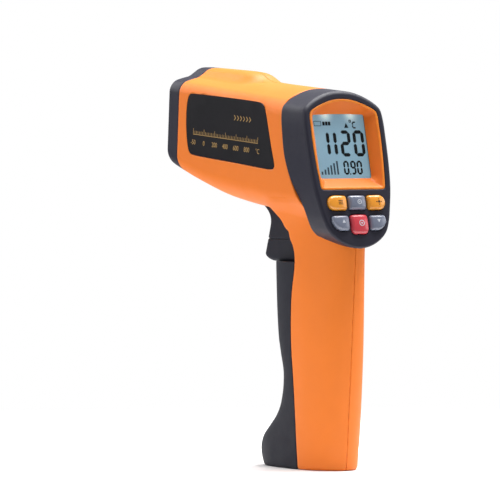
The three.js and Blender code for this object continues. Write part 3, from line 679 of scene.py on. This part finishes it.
class Paint:
    """A material under construction: a Principled surface and the nodes that feed it."""

    def __init__(self, name, **surface):
        self.material = bpy.data.materials.new(name)
        self.material.use_nodes = True
        self.tree = self.material.node_tree
        self.tree.nodes.clear()
        self.out = self.tree.nodes.new("ShaderNodeOutputMaterial")
        self.surface = self.add("ShaderNodeBsdfPrincipled", **surface)
        self.tree.links.new(self.surface.outputs[0], self.out.inputs[0])
        self.place = self.add("ShaderNodeTexCoord").outputs["Object"]

    def add(self, kind, settings=None, **values):
        """A node with its settings, and with values or links on its sockets."""
        node = self.tree.nodes.new(kind)
        for key, value in (settings or {}).items():
            setattr(node, key, value)
        for key, value in values.items():
            self.set(node.inputs[int(key[1:]) if key[0] == "_" else key.replace("_", " ")], value)
        return node

    def set(self, socket, value):
        if isinstance(value, bpy.types.NodeSocket):
            self.tree.links.new(value, socket)
        else:
            socket.default_value = value

    def feed(self, socket, value):
        self.set(self.surface.inputs[socket], value)

    def noise(self, scale, detail=2.0, roughness=0.5, place=None):
        return self.add("ShaderNodeTexNoise", Vector=place or self.place, Scale=scale, Detail=detail,
                        Roughness=roughness).outputs[0]

    def cells(self, scale):
        return self.add("ShaderNodeTexVoronoi", {"feature": "F1"}, Vector=self.place, Scale=scale).outputs[0]

    def remap(self, value, low, high, to_low=0.0, to_high=1.0):
        return self.add("ShaderNodeMapRange", _0=value, _1=low, _2=high, _3=to_low, _4=to_high).outputs[0]

    def math(self, operation, a, b):
        return self.add("ShaderNodeMath", {"operation": operation}, _0=a, _1=b).outputs[0]

    def apart(self, spot):
        """The distance from a spot, in metres."""
        return self.add("ShaderNodeVectorMath", {"operation": "DISTANCE"}, _0=self.place,
                        _1=tuple(spot)).outputs["Value"]

    def mix(self, share, a, b):
        node = self.add("ShaderNodeMix", {"data_type": "RGBA"})
        for socket, value in zip((node.inputs[0], node.inputs[6], node.inputs[7]), (share, a, b)):
            self.set(socket, value)
        return node.outputs[2]

    def bump(self, height, depth):
        """Relief of a depth in millimetres."""
        node = self.add("ShaderNodeBump", Height=height, Strength=1.0, Distance=depth / 1000)
        self.feed("Normal", node.outputs[0])


def shade(colour, factor):
    return (*(min(1, c * factor) for c in colour[:3]), 1)


def plastic(name, colour, roughness, grain=2600, depth=0.02, mottle=0.05, highlight_and_wear=0.3, pale=1.7, cells=0,
            **surface):
    """Moulded plastic: fine texture, faint flow marks, a painted highlight on edges and painted shade in
    creases.
    """
    paint = Paint(name, **surface)
    flow = paint.noise(38, 3)
    fine = paint.noise(grain, 2, 0.6)
    tone = paint.mix(paint.remap(flow, 0.3, 0.7), shade(colour, 1 - mottle), shade(colour, 1 + mottle))
    tone = paint.mix(paint.remap(fine, 0.35, 0.7, 0, 0.1), tone, shade(colour, 0.8))
    bend = paint.add("ShaderNodeAttribute", {"attribute_name": "edge"}).outputs["Fac"]
    # Painted highlight: convex edges, where the edge attribute's bend is high, are mixed towards a paler
    # colour in patches.
    patchy = paint.remap(paint.noise(420, 3, 0.65), 0.38, 0.66, 0.25, 1)
    edge_highlight = paint.math("MULTIPLY", paint.remap(bend, 0.6, 2.6, 0, highlight_and_wear), patchy)
    tone = paint.mix(edge_highlight, tone, shade(colour, pale))
    # Painted shade: concave creases, where the bend is negative, are mixed towards a darker colour.
    crease_shade = paint.remap(bend, -0.5, -3, 0, 0.45)
    tone = paint.mix(crease_shade, tone, shade(colour, 0.45))
    paint.feed("Base Color", tone)
    patches = paint.remap(paint.noise(110, 4, 0.6), 0.3, 0.7, roughness - 0.05, roughness + 0.06)
    polish = paint.math("MULTIPLY", edge_highlight, 0.2)
    paint.feed("Roughness", paint.math("SUBTRACT", patches, polish))
    height = fine
    if cells:
        height = paint.math("ADD", fine, paint.math("MULTIPLY", paint.cells(cells), 0.9))
    paint.bump(height, depth)
    return paint.material


def metal(name, colour, roughness):
    """Plated or drawn metal with fine scratches."""
    paint = Paint(name, Metallic=1.0)
    long = paint.add("ShaderNodeMapping", Vector=paint.place, Scale=(1, 0.06, 1)).outputs[0]
    fine = paint.noise(1400, 3, 0.6, long)
    paint.feed("Base Color", paint.mix(
        paint.remap(paint.noise(160, 3), 0.3, 0.7), shade(colour, 0.86), colour))
    paint.feed("Roughness", paint.remap(fine, 0.3, 0.7, roughness - 0.08, roughness + 0.1))
    paint.bump(fine, 0.006)
    return paint.material


def board_paint():
    """Solder resist over copper tracks."""
    paint = Paint("circuit_board", Specular_IOR_Level=0.5)
    tracks = paint.add("ShaderNodeTexBrick", Vector=paint.place, Scale=190, Mortar_Size=0.06)
    paint.set(tracks.inputs["Color1"], srgb(24, 92, 52))
    paint.set(tracks.inputs["Color2"], srgb(20, 80, 46))
    paint.set(tracks.inputs["Mortar"], srgb(58, 132, 84))
    paint.feed("Base Color", tracks.outputs[0])
    paint.feed("Roughness", paint.remap(paint.noise(900), 0.3, 0.7, 0.28, 0.42))
    paint.bump(paint.noise(1500), 0.01)
    return paint.material


def display_paint():
    """A pale blue liquid crystal with two bright spots under its upper edge, where the backlight enters."""
    paint = Paint("display", Emission_Strength=0.53, Specular_IOR_Level=0.4)
    weave = paint.noise(5200, 1)
    tone = paint.mix(paint.remap(paint.noise(45, 2), 0.3, 0.7), srgb(130, 162, 180), srgb(144, 176, 192))
    tone = paint.mix(paint.remap(weave, 0.3, 0.7, 0, 0.12), tone, srgb(96, 134, 152))
    for across in (-6.9, 8.2):
        near = paint.remap(paint.apart(face_point(across, 23.4, -LCD_DEPTH)), 0.0062, 0.0006)
        tone = paint.mix(paint.math("MULTIPLY", near, near), tone, srgb(232, 250, 250))
    paint.feed("Base Color", tone)
    paint.feed("Emission Color", tone)
    paint.feed("Roughness", paint.remap(weave, 0.3, 0.7, 0.3, 0.4))
    return paint.material


def clear_paint(name, tint, strength):
    """Clear plastic or glass in a thin sheet, with reflections that grow to the side."""
    paint = Paint(name)
    highlight_and_wear = paint.remap(paint.noise(700, 3), 0.3, 0.7, 0.02, 0.07)
    gloss = paint.add("ShaderNodeBsdfGlossy", Roughness=highlight_and_wear, Color=(1, 1, 1, 1))
    through = paint.add("ShaderNodeBsdfTransparent", Color=tint)
    edge = paint.add("ShaderNodeFresnel", IOR=1.46).outputs[0]
    both = paint.add("ShaderNodeMixShader", _0=paint.math("MULTIPLY", edge, strength),
                     _1=through.outputs[0], _2=gloss.outputs[0])
    paint.tree.nodes.remove(paint.surface)
    paint.tree.links.new(both.outputs[0], paint.out.inputs[0])
    return paint.material


def lens_paint():
    """A dark coated infrared lens, with the coating's coloured reflection painted in towards its rim."""
    paint = Paint("ir_lens", Roughness=0.06, Coat_Weight=1.0, Coat_Roughness=0.03, Specular_IOR_Level=0.8)
    apart = paint.apart(barrel_point(0, LENS_HEIGHT, 99.9))
    # Painted reflection: the colour turns purple towards the rim, standing in for the coating's tinted
    # reflection.
    tone = paint.mix(paint.remap(apart, 0.006, 0.0155), srgb(26, 30, 44), srgb(66, 46, 80))
    paint.feed("Base Color", paint.mix(
        paint.remap(paint.noise(120), 0.35, 0.7, 0, 0.3), tone, srgb(34, 52, 62)))
    paint.bump(paint.noise(60, 1), 0.004)
    return paint.material


def ink(name, colour, roughness=0.5, **surface):
    """Printing ink: nearly flat, with the grain of a screen print."""
    paint = Paint(name, **surface)
    fine = paint.noise(4200, 2)
    paint.feed("Base Color", paint.mix(
        paint.remap(fine, 0.35, 0.7, 0, 0.25), colour, shade(colour, 0.75)))
    paint.feed("Roughness", paint.remap(fine, 0.3, 0.7, roughness - 0.05, roughness + 0.05))
    paint.bump(fine, 0.004)
    return paint.material


def battery_paint():
    """A plain two-tone metal jacket, copper-coloured above and dark below."""
    paint = Paint("battery_jacket", Metallic=0.75)
    height = paint.add("ShaderNodeSeparateXYZ", Vector=paint.place).outputs["Z"]
    band = paint.remap(height, 0.0440, 0.0442)
    rub = paint.noise(600, 4, 0.65)
    tone = paint.mix(band, srgb(40, 40, 46), srgb(186, 128, 78))
    paint.feed("Base Color", paint.mix(
        paint.remap(rub, 0.6, 0.75, 0, 0.4), tone, srgb(190, 190, 194)))
    paint.feed("Roughness", paint.remap(rub, 0.3, 0.7, 0.26, 0.42))
    paint.bump(rub, 0.01)
    return paint.material


ORANGE = srgb(244, 127, 38)
DARK = srgb(36, 35, 49)
KEY_GLOSS = {"grain": 3000, "depth": 0.01, "Coat_Weight": 0.6, "Coat_Roughness": 0.16}
# Each plastic's edge lightening set below is a painted highlight on its convex edges.
PAINTS = {
    "orange_shell": plastic("orange_shell", ORANGE, 0.5, mottle=0.025, highlight_and_wear=0.2, pale=1.4,
                            Specular_IOR_Level=0.35),
    "black_shell": plastic("black_shell", DARK, 0.5, grain=2200, depth=0.025, highlight_and_wear=0.3, pale=2.2,
                           Specular_IOR_Level=0.35),
    "black_grip": plastic("black_grip", srgb(28, 28, 39), 0.62, grain=2000, depth=0.03, cells=1500, highlight_and_wear=0.15,
                          pale=1.8, Specular_IOR_Level=0.3),
    "key_orange": plastic("key_orange", srgb(247, 160, 48), 0.28, highlight_and_wear=0.35, pale=1.6, **KEY_GLOSS),
    "key_grey": plastic("key_grey", srgb(118, 124, 142), 0.28, highlight_and_wear=0.4, pale=1.6, **KEY_GLOSS),
    "key_red": plastic("key_red", srgb(214, 66, 78), 0.26, highlight_and_wear=0.35, pale=1.7, **KEY_GLOSS),
    "label": plastic("label", srgb(15, 12, 18), 0.36, grain=1600, depth=0.006, mottle=0.03, highlight_and_wear=0.0,
                     Specular_IOR_Level=0.3),
    "circuit_board": board_paint(),
    "display": display_paint(),
    "clear_plastic": clear_paint("clear_plastic", (0.97, 0.98, 0.98, 1), 0.35),
    "laser_glass": clear_paint("laser_glass", (0.92, 0.5, 0.46, 1), 1.0),
    "lens": lens_paint(),
    "battery_wrap": battery_paint(),
}
for name, colour, roughness, grain in (
        ("key_rubber", (46, 46, 50), 0.7, 1500), ("white_plastic", (240, 240, 236), 0.45, 2600),
        ("black_plastic", (38, 38, 42), 0.45, 2600), ("red_lead", (186, 34, 44), 0.4, 1800),
        ("black_lead", (34, 34, 36), 0.4, 1800)):
    PAINTS[name] = plastic(name, srgb(*colour), roughness, grain)
for name, colour, roughness in (
        ("steel", (196, 198, 203), 0.26), ("tin", (204, 206, 210), 0.3), ("brass", (214, 172, 98), 0.3)):
    PAINTS[name] = metal(name, srgb(*colour), roughness)
GOLD_INK = ink("gold_ink", srgb(206, 166, 102), 0.36, Metallic=0.35)
DARK_INK = ink("dark_ink", srgb(64, 44, 30))
PALE_INK = ink("pale_ink", srgb(206, 210, 218))
SEGMENT_INK = ink("segment_ink", srgb(8, 12, 16), Specular_IOR_Level=0.1)
FAINT_INK = ink("faint_ink", srgb(66, 88, 104), Specular_IOR_Level=0.1)


def dress(obj, paint, body, *nodes, slot=None):
    """Paints a piece, rides it on its body and hides the nodes it stands for."""
    obj.data.materials.clear()
    obj.data.materials.append(paint if isinstance(paint, bpy.types.Material) else PAINTS[paint])
    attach(obj, body)
    if nodes:
        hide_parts(*nodes)
    return obj


# Moulded pieces, each built inside its own box.
def box_of(node, margin=0.6):
    """A node's box in the shape code's millimetres, with a margin."""
    low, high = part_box(node)
    shift = np.array([0, 0, LIFT])
    return np.array(low) * 1000 - shift - margin, np.array(high) * 1000 - shift + margin


def mould(name, node, field, pitch, paint, body, keep=0.4):
    return dress(moulded(name, field, *box_of(node), pitch, keep), paint, body, node)


mould("case_left", "left_shell", shell(-1), 0.55, "orange_shell", "case", 0.35)
mould("case_right", "right_shell", shell(1), 0.55, "orange_shell", "case", 0.35)
mould("collar", "nose_collar", nose_collar, 0.45, "black_shell", "case")
mould("ring", "rear_bezel", rear_bezel, 0.4, "black_shell", "case")
# The display surround: the same orange with a stronger painted highlight along its edges, drawing a pale line
# round the recess's lip.
highlit_surround = plastic("orange_surround", ORANGE, 0.46, mottle=0.025, highlight_and_wear=0.75, pale=1.9, Specular_IOR_Level=0.35)
dress(moulded("surround", display_frame, *box_of("display_frame"), 0.35), highlit_surround, "case", "display_frame",
      slot="orange_shell")
mould("trigger_blade", "trigger", trigger, 0.4, "black_grip", "trigger_lever")
mould("grip_door", "battery_door", battery_door, 0.5, "black_grip", "door")
KEY_PAINT = {"set": "key_orange", "laser": "key_orange", "mode": "key_grey", "up": "key_grey",
             "down": "key_grey", "scan": "key_red"}
for name, paint in KEY_PAINT.items():
    mould(f"button_{name}", f"key_{name}", key(name), 0.22, paint, f"{name}_key", 0.5)

head = moulded("screw_1", screw, (-2.7, -8.1, -2.7), (2.7, 8.3, 2.7), 0.16, 0.5)
for number, (x, z) in enumerate(SCREWS, 1):
    obj = head if number == 1 else linked(f"screw_{number}", head.data)
    obj.location = (x / 1000, 0, z / 1000)
    dress(obj, "steel", "case", f"case_screw_{number}")

# Glass and turned pieces on the lens axis.
LENS_CURVE = [(0, 96.4), (15.8, 96.9), (16.35, 97.4), (16.4, 98.2)]
LENS_CURVE += [
    (15.9 * cos(a), 98.4 + 1.5 * sin(a)) for a in np.linspace(0.08, pi / 2, 14)[:-1]]
dress(turned("front_lens", [*LENS_CURVE, (0, 99.9)]), "lens", "case", "ir_lens")
dress(turned("lens_ring", [
    (14.6, 100.3), (17.0, 98.9), (17.2, 98.6), (18.2, 98.6), (18.2, 102.3), (17.9, 102.6), (15.5, 102.6),
    (15.2, 102.4), (14.7, 101.7), (14.6, 101.4)]), "black_shell", "case", "lens_retainer")

# Labels: printed plates in shallow pockets, with a temperature scale.
for side, word in ((-1, "left"), (1, "right")):
    plane = side_point(side, HALF_WIDTH - 0.28)
    plate = prisms(f"side_label_{word}", [LABEL_CURVE], plane, 0, 0.2, bevel=0.12)
    dress(plate, "label", "case", f"label_{word}")


def label_place(side):
    """A label's own plane: along it as it is read, and up."""
    def place(along, up, out):
        point = barrel_point(0, up, side * along)
        point.y = side * (HALF_WIDTH - 0.1 + out) / 1000
        return point
    return place


def lettering(name, items, place, out):
    """Figures from (text, x, y, height), centred on their points, as closed raised meshes."""
    build = bmesh.new()
    for text, x, y, height in items:
        curve = bpy.data.curves.new(name, "FONT")
        curve.body = text
        curve.size = height / 0.69
        curve.align_x, curve.align_y = "CENTER", "CENTER"
        curve.resolution_u = 4
        curve.extrude = 0.02
        holder = linked(name, curve)
        mesh = baked(holder)
        for vert in mesh.vertices:
            vert.co = place(x + vert.co.x, y + vert.co.y, out + vert.co.z)
        build.from_mesh(mesh)
        bpy.data.objects.remove(holder)
        bpy.data.curves.remove(curve)
        bpy.data.meshes.remove(mesh)
    bmesh.ops.remove_doubles(build, verts=build.verts, dist=1e-7)
    return finish_mesh(name, build)


def bar(left, right, bottom, top):
    return [(left, bottom), (right, bottom), (right, top), (left, top)]


SCALE_LEFT, SCALE_RIGHT = -78.5, -14
SCALE_TICKS, TICKS_PER_FIGURE = 43, 7
SCALE_FIGURES = ("-50", "0", "200", "400", "600", "800", "°C")
CHEVRON = [(0, 0.2), (0.7, 0.2), (2, 1.5), (0.7, 2.8), (0, 2.8), (1.3, 1.5)]
for side, word in ((-1, "left"), (1, "right")):
    shift = 0 if side < 0 else -(SCALE_LEFT + SCALE_RIGHT)
    spots = np.linspace(SCALE_LEFT, SCALE_RIGHT, SCALE_TICKS) + shift
    ticks = [bar(spots[0] - 0.15, spots[-1] + 0.15, -10.2, -9.9)]
    ticks += [bar(x - 0.17, x + 0.17, -9.8, -8.2 if i % TICKS_PER_FIGURE else -6.9)
              for i, x in enumerate(spots)]
    middle = (SCALE_LEFT + SCALE_RIGHT) / 2 + 17 + shift
    ticks += [[(middle + 3 * i + x, y) for x, y in CHEVRON] for i in range(-3, 3)]
    dress(prisms(f"scale_{word}", ticks, label_place(side), 0, 0.05), GOLD_INK, "case", slot="label")
    figures = [(text, x, -14.3, 2.5) for text, x in zip(SCALE_FIGURES, spots[::TICKS_PER_FIGURE])]
    dress(lettering(f"figures_{word}", figures, label_place(side), 0.03), GOLD_INK, "case", slot="label")


# Display segments.
SEGMENTS = {"0": "abcdef", "1": "bc", "2": "abged", "9": "abcdfg", "C": "afed"}


def segment_digit(text, left, bottom, width, height, stroke):
    """The lit segments of one figure, with mitred ends and small gaps."""
    half, gap = stroke / 2, stroke * 0.04
    low, mid, top = bottom + half, bottom + height / 2, bottom + height - half
    near, far = left + half, left + width - half

    def lozenge(start, end, middle):
        a, b = start + gap, end - gap
        return [(a, middle), (a + half, middle - half), (b - half, middle - half),
                (b, middle), (b - half, middle + half), (a + half, middle + half)]

    def level(y):
        return lozenge(near, far, y)

    def upright(x, start, end):
        return [(across, up) for up, across in lozenge(start, end, x)]

    shapes = {"a": level(top), "g": level(mid), "d": level(low), "f": upright(near, mid, top),
              "b": upright(far, mid, top), "e": upright(near, low, mid), "c": upright(far, low, mid)}
    return [shapes[name] for name in SEGMENTS[text]]


def frame_bars(left, right, bottom, top, line):
    """A square frame from four bars."""
    return [bar(left, right, bottom, bottom + line), bar(left, right, top - line, top),
            bar(left, left + line, bottom + line, top - line),
            bar(right - line, right, bottom + line, top - line)]


def face_layer(x, y, out):
    return face_point(x, y, out - LCD_DEPTH)


# The main reading, the small one with its point, the battery's bars, the arrow, then the degree sign and C.
lit = []
for text, left, width in (("1", -12.6, 6.4), ("1", -8.3, 6.4), ("2", 0.1, 6.4), ("0", 8.1, 6.6)):
    lit += segment_digit(text, left, 1.2, width, 13.8, 1.85)
for text, left in zip("090", (0.2, 4.4, 8.2)):
    lit += segment_digit(text, left, -8.3, 3.3, 7.3, 1.05)
lit += [bar(3.6, 4.3, -8.3, -7.6), *(bar(left, left + 1.4, 17.6, 19.6) for left in (-9.2, -7.5, -5.8))]
lit += [[(3.7, 16.3), (6.3, 16.3), (5, 18.9)], *frame_bars(6.9, 8.2, 19.1, 20.5, 0.4)]
lit += segment_digit("C", 8.6, 15.9, 2.6, 3.7, 0.75)
faint = [bar(-13.5 + 1.9 * i, -12.5 + 1.9 * i, -8.2, -6.6 + 1.1 * i) for i in range(6)]
faint += frame_bars(-14.4, -10, 17.3, 20, 0.3)
dress(prisms("segments_lit", lit, face_layer, 0.01, 0.05), SEGMENT_INK, "case", slot="display")
dress(prisms("segments_faint", faint, face_layer, 0.01, 0.04), FAINT_INK, "case", slot="display")


# Key icons, printed on the crowned tops.
def ring_icon(x, y, inner, outer, parts=20):
    near, far = circle(x, y, inner, parts), circle(x, y, outer, parts)
    return [[near[i - 1], far[i - 1], far[i], near[i]] for i in range(parts)]


def disc_icon(x, y, radius, parts=16):
    return [circle(x, y, radius, parts)]


ICONS = {
    "set": [bar(-11.6 + 0.9 * i, -10.9 + 0.9 * i, y, y + 0.4) for y in (-25.8, -24.9, -24) for i in range(3)],
    "mode": ring_icon(1, -24.6, 0.9, 1.25) + disc_icon(1, -24.6, 0.35),
    "laser": disc_icon(12.8, -24.6, 0.65) + [
        bar(13.8, 14.5, -24.8, -24.4), bar(11.1, 11.8, -24.8, -24.4),
        bar(12.6, 13, -23.6, -22.9), bar(12.6, 13, -26.3, -25.6)],
    "up": [[(-10.9, -35.4), (-8.9, -35.4), (-9.9, -33.7)]],
    "scan": ring_icon(0.8, -35.6, 1.2, 1.6) + disc_icon(0.8, -35.6, 0.5),
    "down": [[(10.2, -33.8), (12.2, -33.8), (11.2, -35.5)]],
}
ICON_ROOT, ICON_RISE = -0.3, 0.08


def above_key(name, rise):
    """A level that follows a key's crowned top."""
    return lambda x, y: key_top(name, x, y) + rise


for name, outlines in ICONS.items():
    mark = prisms(
        f"icon_{name}", outlines, face_point, above_key(name, ICON_ROOT), above_key(name, ICON_RISE))
    dress(mark, DARK_INK if name in ("set", "laser") else PALE_INK, f"{name}_key", slot=KEY_PAINT[name])

# Inner pieces with simple rounded forms, and finishes for the CAD nodes that stay.
dress(bevelled_box("block_battery", "battery_9v", 1.6), "battery_wrap", "case", "battery_9v")
dress(bevelled_box("snap_connector", "battery_connector", 0.8), "black_plastic", "case", "battery_connector")
dress(bevelled_box("micro_switch", "trigger_switch", 0.4), "black_plastic", "case", "trigger_switch")


def coil(name, start, end, high, radius=2, wire=0.28, turns=5, steps=24, around=10):
    """A compression spring along X, as one closed tube."""
    build = bmesh.new()
    rings = []
    for i in range(turns * steps + 1):
        angle = 2 * pi * i / steps
        outward = Vector((0, cos(angle), sin(angle)))
        middle = Vector((start + (end - start) * i / (turns * steps), 0, high + LIFT)) + radius * outward
        rings.append([build.verts.new((middle + outward * across + Vector((along, 0, 0))) / 1000)
                      for across, along in circle(0, 0, wire, around)])
    for ring, after in zip(rings, rings[1:]):
        join_rings(build, ring, after)
    build.faces.new(rings[0])
    build.faces.new(rings[-1])
    return finish_mesh(name, build, sharp=180)


SPRING_START, SPRING_END, SPRING_HEIGHT = 10.5, 18.3, 109.6
spring = coil("return_spring", SPRING_START, SPRING_END, SPRING_HEIGHT)
dress(spring, "steel", "case", "trigger_spring")
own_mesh(spring)

KEPT = {
    "display_window": "clear_plastic", "lcd_panel": "display", "backlight": "white_plastic",
    "main_board": "circuit_board", "controller_chip": "black_plastic", "key_board": "circuit_board",
    "keypad_mat": "key_rubber", "buzzer": "black_plastic", "lens_barrel": "black_plastic",
    "sensor_can": "tin", "sensor_board": "circuit_board", "laser_module": "brass",
    "laser_window": "laser_glass", "trigger_pin": "steel", "door_hinge_pin": "steel",
    "battery_cradle": "black_plastic", "lead_red": "red_lead", "lead_black": "black_lead",
}
for node, paint in KEPT.items():
    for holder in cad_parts[node].material_slots:
        holder.material = PAINTS[paint]

# Camera: a long lens behind the left side, placed so that the anchor falls on its spot in the picture.
AZIMUTH, ELEVATION = radians(58.5), radians(1.7)
PICTURE = 500
FOCAL = 6000 / PICTURE
SENSOR = 36
DISTANCE = 3.069
ANCHOR, ANCHOR_SPOT = Vector((0.034, 0, 0.0013)), (346.4, 468.5)
right = Vector((cos(AZIMUTH), sin(AZIMUTH), 0))
back = Vector((right.y * cos(ELEVATION), -right.x * cos(ELEVATION), sin(ELEVATION)))
up = back.cross(right)
seen_x, seen_y = ANCHOR_SPOT[0] / PICTURE - 0.5, 0.5 - ANCHOR_SPOT[1] / PICTURE
where = ANCHOR - right * (seen_x / FOCAL * DISTANCE) - up * (seen_y / FOCAL * DISTANCE) + back * DISTANCE
lens = bpy.data.cameras.new("camera")
lens.sensor_width = SENSOR
lens.lens = SENSOR * FOCAL
lens.clip_start, lens.clip_end = 0.1, 30
camera = linked("camera", lens)
camera.matrix_world = Matrix.Translation(where) @ Matrix((right, up, back)).transposed().to_4x4()
bpy.context.scene.camera = camera

# The studio: a pale floor that fades into the backdrop, soft boxes and an even sky.
AIM = Vector((-0.01, 0, 0.11))
FLOOR_RADIUS, FADE_END, FADE_START = 0.6, 0.55, 0.12


def soft_box(name, offset, width, height, power):
    lamp = bpy.data.lights.new(name, "AREA")
    lamp.shape, lamp.size, lamp.size_y = "RECTANGLE", width, height
    lamp.energy = power
    obj = linked(name, lamp)
    obj.location = AIM + right * offset[0] + up * offset[1] + back * offset[2]
    obj.rotation_mode = "QUATERNION"
    obj.rotation_quaternion = (obj.location - AIM).to_track_quat("Z", "Y")


soft_box("key_left", (-0.75, 0.4, 0.3), 0.5, 0.6, 2.7)
soft_box("fill_right", (1.1, 0.3, 0.05), 0.35, 0.5, 1.2)
soft_box("overhead", (0.2, 1.1, -0.15), 1, 1, 34)
soft_box("rear_left", (-0.7, 0.5, -0.8), 0.6, 0.6, 4)
soft_box("rear_right", (0.7, 0.5, -0.8), 0.6, 0.6, 4)

build = bmesh.new()
bmesh.ops.create_circle(build, cap_ends=True, segments=96, radius=FLOOR_RADIUS)
floor = finish_mesh("floor", build)
paint = Paint("floor_paper", Roughness=0.9, Specular_IOR_Level=0.0)
paint.feed("Base Color", paint.mix(
    paint.noise(900, 3), (0.88, 0.88, 0.88, 1), (0.92, 0.92, 0.92, 1)))
paint.feed("Alpha", paint.remap(paint.apart((0, 0, 0)), FADE_END, FADE_START))
floor.data.materials.append(paint.material)

world = bpy.data.worlds.new("studio")
bpy.context.scene.world = world
world.use_nodes = True
tree = world.node_tree
tree.nodes.clear()
seen, lit_by = tree.nodes.new("ShaderNodeBackground"), tree.nodes.new("ShaderNodeBackground")
seen.inputs["Strength"].default_value = 1.0
seen.inputs["Color"].default_value = (1, 1, 1, 1)
lit_by.inputs["Strength"].default_value = 0.235
lit_by.inputs["Color"].default_value = (0.93, 0.96, 1, 1)
path = tree.nodes.new("ShaderNodeLightPath")
either = tree.nodes.new("ShaderNodeMixShader")
tree.links.new(path.outputs["Is Camera Ray"], either.inputs[0])
tree.links.new(lit_by.outputs[0], either.inputs[1])
tree.links.new(seen.outputs[0], either.inputs[2])
tree.links.new(either.outputs[0], tree.nodes.new("ShaderNodeOutputWorld").inputs[0])

bpy.context.scene.view_settings.view_transform = "Standard"
